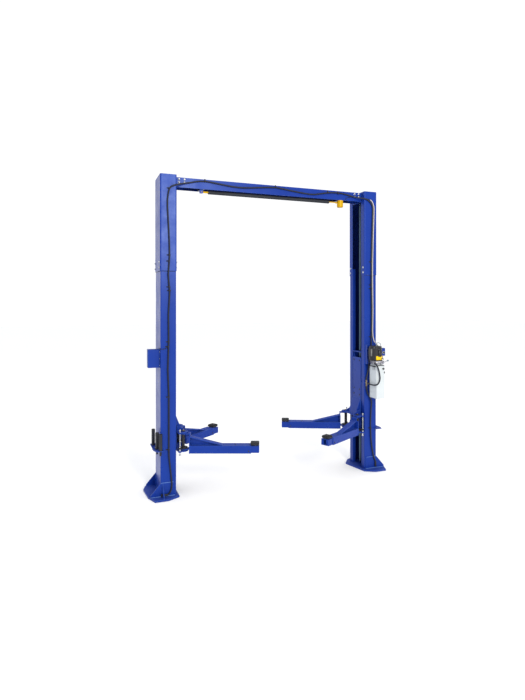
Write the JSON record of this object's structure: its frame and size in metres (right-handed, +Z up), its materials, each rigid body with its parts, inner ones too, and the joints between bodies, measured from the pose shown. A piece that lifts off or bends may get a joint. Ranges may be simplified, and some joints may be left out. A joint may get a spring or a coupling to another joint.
{
  "type": "two post car lift",
  "caption": "Clear-floor car lift: columns joined by an overhead beam, carriages with swing arms, telescopic lifting pads and a hydraulic power unit.",
  "frame": {"origin": "on the floor, midway between the two columns, centre of the anchor holes", "axes": "+X along the beam towards the power unit's column, +Y to the rear, +Z up"},
  "size_m": [3.434, 1.2466, 4],
  "materials": {
    "blue_paint": "glossy powder coat, light orange peel",
    "black_steel": "black oxide, slightly oily",
    "zinc_steel": "bright zinc plate",
    "yellow_paint": "glossy yellow enamel",
    "pad_rubber": "moulded rubber, dull",
    "padding_foam": "black foam sleeve, dull",
    "hose_rubber": "black hose cover, satin",
    "conduit_grey": "beige grey cable sheath",
    "fitting_brass": "machined brass, dull",
    "tank_white": "moulded white plastic, satin",
    "motor_dark": "dark grey enamel",
    "cast_aluminium": "machined aluminium"
  },
  "bodies": {
    "frame": {"left_base": "blue_paint", "right_base": "blue_paint", "left_column": "blue_paint", "right_column": "blue_paint", "left_column_top": "blue_paint", "right_column_top": "blue_paint", "left_lift_tube": "zinc_steel", "right_lift_tube": "zinc_steel", "overhead_beam": "blue_paint", "limit_switch": "yellow_paint", "main_hose": "hose_rubber", "lower_hose": "hose_rubber", "loop_hose": "hose_rubber", "hose_tee": "fitting_brass", "hose_elbows": "zinc_steel", "electric_conduit": "conduit_grey", "left_lock_cover": "blue_paint", "right_lock_cover": "blue_paint", "left_adapter_rack": "blue_paint", "right_adapter_rack": "blue_paint", "height_adapters": "black_steel", "unit_bracket": "blue_paint", "motor": "motor_dark", "switch_box": "blue_paint", "valve_block": "cast_aluminium", "oil_tank": "tank_white"},
    "bar": {"shutoff_bar": "yellow_paint", "bar_padding": "padding_foam"},
    "left_lifter": {"left_carriage": "blue_paint", "left_arm_pins": "black_steel", "left_lock_rods": "zinc_steel"},
    "right_lifter": {"right_carriage": "blue_paint", "right_arm_pins": "black_steel", "right_lock_rods": "zinc_steel"},
    "left_front_arm_body": {"left_front_arm": "blue_paint"},
    "left_front_extension_body": {"left_front_extension": "blue_paint"},
    "left_front_pad_body": {"left_front_pad": "pad_rubber"},
    "left_rear_arm_body": {"left_rear_arm": "blue_paint"},
    "left_rear_extension_body": {"left_rear_extension": "blue_paint"},
    "left_rear_pad_body": {"left_rear_pad": "pad_rubber"},
    "right_front_arm_body": {"right_front_arm": "blue_paint"},
    "right_front_extension_body": {"right_front_extension": "blue_paint"},
    "right_front_pad_body": {"right_front_pad": "pad_rubber"},
    "right_rear_arm_body": {"right_rear_arm": "blue_paint"},
    "right_rear_extension_body": {"right_rear_extension": "blue_paint"},
    "right_rear_pad_body": {"right_rear_pad": "pad_rubber"}
  },
  "joints": [
    {"name": "left_lift", "type": "slide", "parent": "frame", "child": "left_lifter", "axis": [0, 0, 1], "range_m": [-0.42, 1.2]},
    {"name": "right_lift", "type": "slide", "parent": "frame", "child": "right_lifter", "axis": [0, 0, 1], "range_m": [-0.42, 1.2]},
    {"name": "bar_hinge", "type": "hinge", "parent": "frame", "child": "bar", "pos_m": [-1.01, -0.09, 3.832], "axis": [0, -1, 0], "range_deg": [0, 1.5]},
    {"name": "left_front_swing", "type": "hinge", "parent": "left_lifter", "child": "left_front_arm_body", "pos_m": [-1.258, -0.165, 0.66], "axis": [0, 0, -1], "range_deg": [-5.5, 64.5]},
    {"name": "left_front_reach", "type": "slide", "parent": "left_front_arm_body", "child": "left_front_extension_body", "axis": [0.9367, -0.3502, 0], "range_m": [0, 0.29]},
    {"name": "left_front_swivel", "type": "hinge", "parent": "left_front_extension_body", "child": "left_front_pad_body", "pos_m": [-0.41219, -0.48124, 0.64], "axis": [0, 0, 1], "continuous": true},
    {"name": "left_rear_swing", "type": "hinge", "parent": "left_lifter", "child": "left_rear_arm_body", "pos_m": [-1.258, 0.165, 0.66], "axis": [0, 0, 1], "range_deg": [-20, 50]},
    {"name": "left_rear_reach", "type": "slide", "parent": "left_rear_arm_body", "child": "left_rear_extension_body", "axis": [0.8192, 0.5736, 0], "range_m": [0, 0.3]},
    {"name": "left_rear_swivel", "type": "hinge", "parent": "left_rear_extension_body", "child": "left_rear_pad_body", "pos_m": [-0.68459, 0.5665, 0.64], "axis": [0, 0, 1], "continuous": true},
    {"name": "right_front_swing", "type": "hinge", "parent": "right_lifter", "child": "right_front_arm_body", "pos_m": [1.258, -0.165, 0.66], "axis": [0, 0, 1], "range_deg": [-13.2, 56.8]},
    {"name": "right_front_reach", "type": "slide", "parent": "right_front_arm_body", "child": "right_front_extension_body", "axis": [-0.8813, -0.4726, 0], "range_m": [0, 0.3]},
    {"name": "right_front_swivel", "type": "hinge", "parent": "right_front_extension_body", "child": "right_front_pad_body", "pos_m": [0.58116, -0.52792, 0.64], "axis": [0, 0, 1], "continuous": true},
    {"name": "right_rear_swing", "type": "hinge", "parent": "right_lifter", "child": "right_rear_arm_body", "pos_m": [1.258, 0.165, 0.66], "axis": [0, 0, -1], "range_deg": [-8.5, 61.5]},
    {"name": "right_rear_reach", "type": "slide", "parent": "right_rear_arm_body", "child": "right_rear_extension_body", "axis": [-0.9171, 0.3987, 0], "range_m": [0, 0.29]},
    {"name": "right_rear_swivel", "type": "hinge", "parent": "right_rear_extension_body", "child": "right_rear_pad_body", "pos_m": [0.42989, 0.52507, 0.64], "axis": [0, 0, 1], "continuous": true}
  ],
  "couplings": [
    {"joint": "right_lift", "follows": "left_lift", "ratio": 1}
  ]
}
